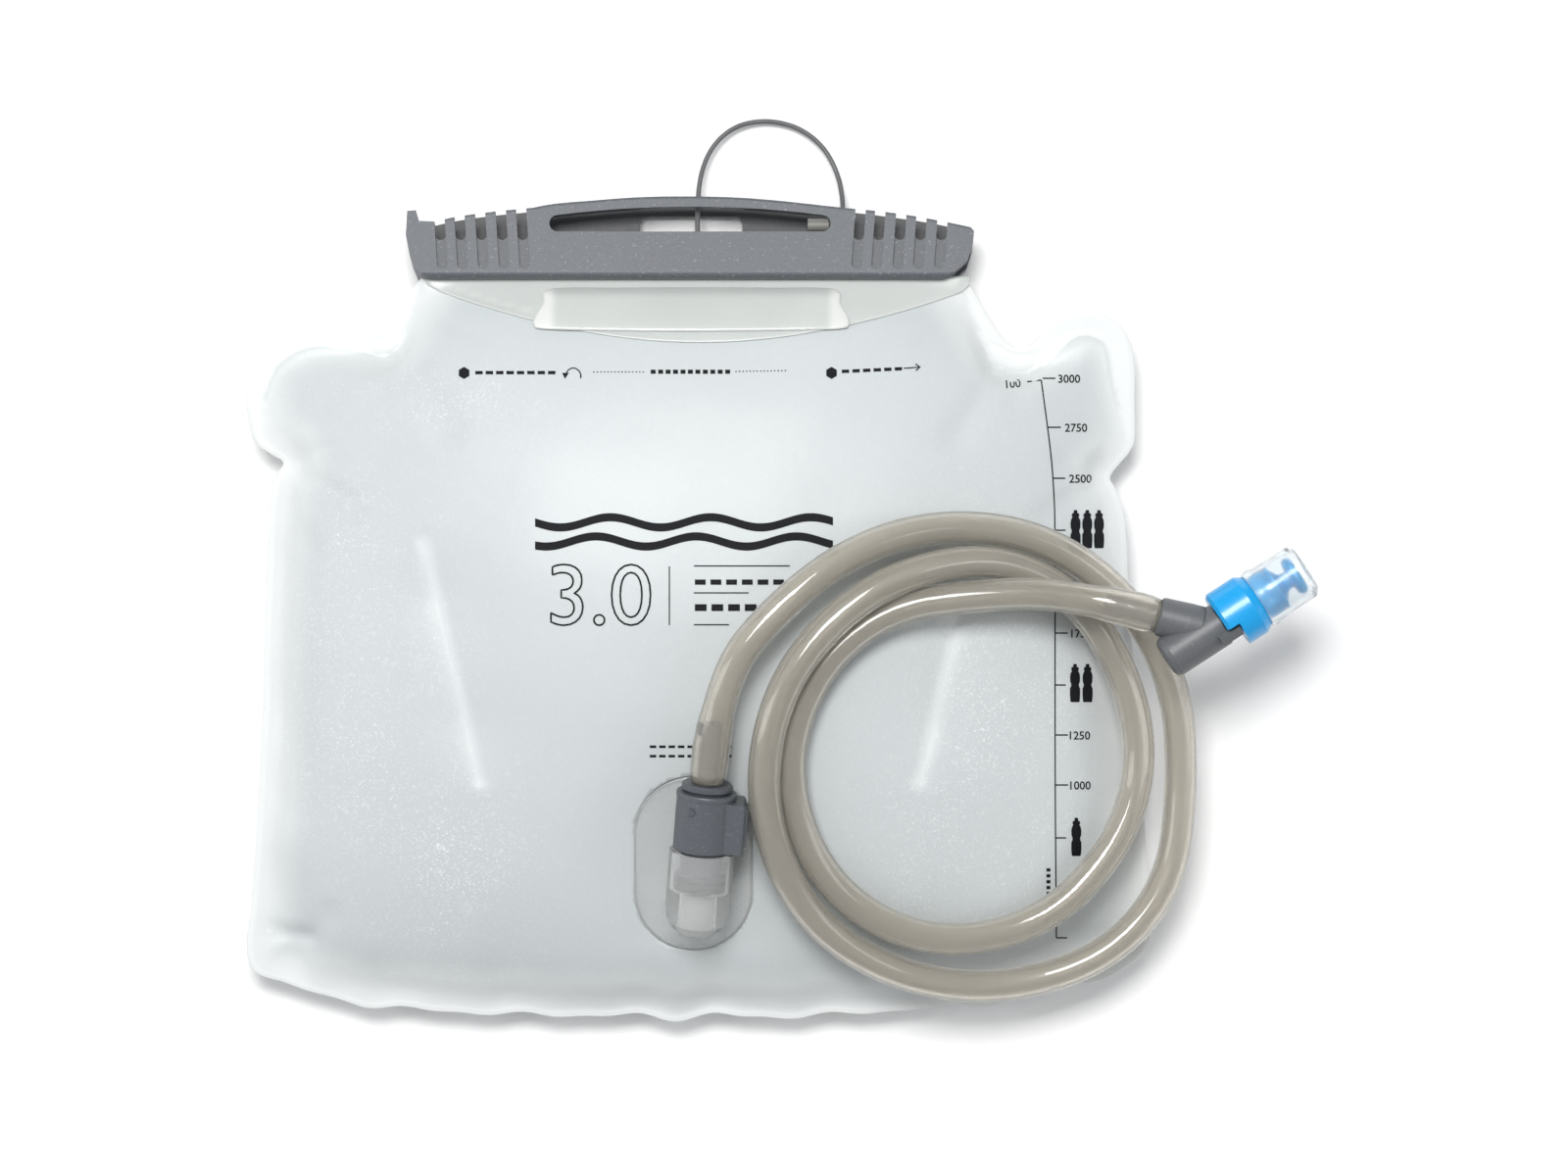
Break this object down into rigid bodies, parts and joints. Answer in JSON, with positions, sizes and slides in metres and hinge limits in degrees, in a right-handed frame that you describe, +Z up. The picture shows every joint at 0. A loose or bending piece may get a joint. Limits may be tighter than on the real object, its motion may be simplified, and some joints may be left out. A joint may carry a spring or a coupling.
{
  "type": "hydration bladder",
  "caption": "Soft translucent water reservoir lying flat, with a slide-top closure, hang loop, quick-release port, coiled drinking hose and angled twist-lock bite valve.",
  "frame": {"origin": "bottom centre of the bladder, closure and port, on the surface it lies on, without the hose, bite valve and hang loop", "axes": "+Z up, out of the printed front of the bladder; +Y towards the closure; +X to the right seen from the front, along the closure"},
  "size_m": [0.3165, 0.2696, 0.0619],
  "materials": {
    "film": "frosted flexible film",
    "rail": "smooth",
    "clear_strip": "clear, slightly frosted",
    "port": "milky moulding",
    "spring": "drawn wire",
    "grey_plastic": "satin moulding",
    "loop_cord": "smooth",
    "tube": "smoky translucent",
    "seal": "soft",
    "blue_plastic": "gloss",
    "silicone": "clear soft"
  },
  "bodies": {
    "reservoir": {"front_film": "film", "rear_film": "film", "baffle_left": "film", "baffle_right": "film", "closure_rail": "rail", "mouth_fold": "clear_strip", "mouth_lip": "clear_strip", "lip_stiffener": "clear_strip", "port_fitting": "port", "valve_cartridge": "port", "valve_spring": "spring"},
    "slider": {"slide_bar": "grey_plastic", "hang_loop": "loop_cord", "loop_knob": "grey_plastic"},
    "hose": {"drink_tube": "tube", "plug_stem": "grey_plastic", "plug_seal": "seal", "elbow_body": "grey_plastic", "spigot_seal": "seal"},
    "connector": {"connector_housing": "grey_plastic", "button_spring": "spring"},
    "button": {"release_button": "grey_plastic"},
    "poppet": {"valve_poppet": "port"},
    "bite_valve": {"twist_collar": "blue_plastic", "spout_core": "blue_plastic", "bite_sheath": "silicone"}
  },
  "joints": [
    {"name": "slider_slide", "type": "slide", "parent": "reservoir", "child": "slider", "axis": [-1, 0, 0], "range_m": [0, 0.17]},
    {"name": "hose_pull", "type": "slide", "parent": "reservoir", "child": "hose", "axis": [0.0802, 0.975, 0.2072], "range_m": [0, 0.024], "deforming": ["drink_tube"]},
    {"name": "connector_swivel", "type": "hinge", "parent": "hose", "child": "connector", "pos_m": [0.00226, -0.06248, 0.0485], "axis": [0.0802, 0.975, 0.2072], "range_deg": [-180, 0]},
    {"name": "button_press", "type": "slide", "parent": "connector", "child": "button", "axis": [-0.9968, 0.0784, 0.0167], "range_m": [0, 0.0013], "stiffness_N_per_m": 800, "deforming": ["button_spring"]},
    {"name": "poppet_lift", "type": "slide", "parent": "reservoir", "child": "poppet", "axis": [0.0802, 0.975, 0.2072], "range_m": [0, 0.003], "deforming": ["valve_spring"]},
    {"name": "valve_twist", "type": "hinge", "parent": "hose", "child": "bite_valve", "pos_m": [0.13679, -0.01499, 0.046], "axis": [0.8387, 0.5446, 0], "range_deg": [-90, 0]}
  ],
  "couplings": [
    {"joint": "poppet_lift", "follows": "hose_pull", "ratio": 0.125}
  ]
}
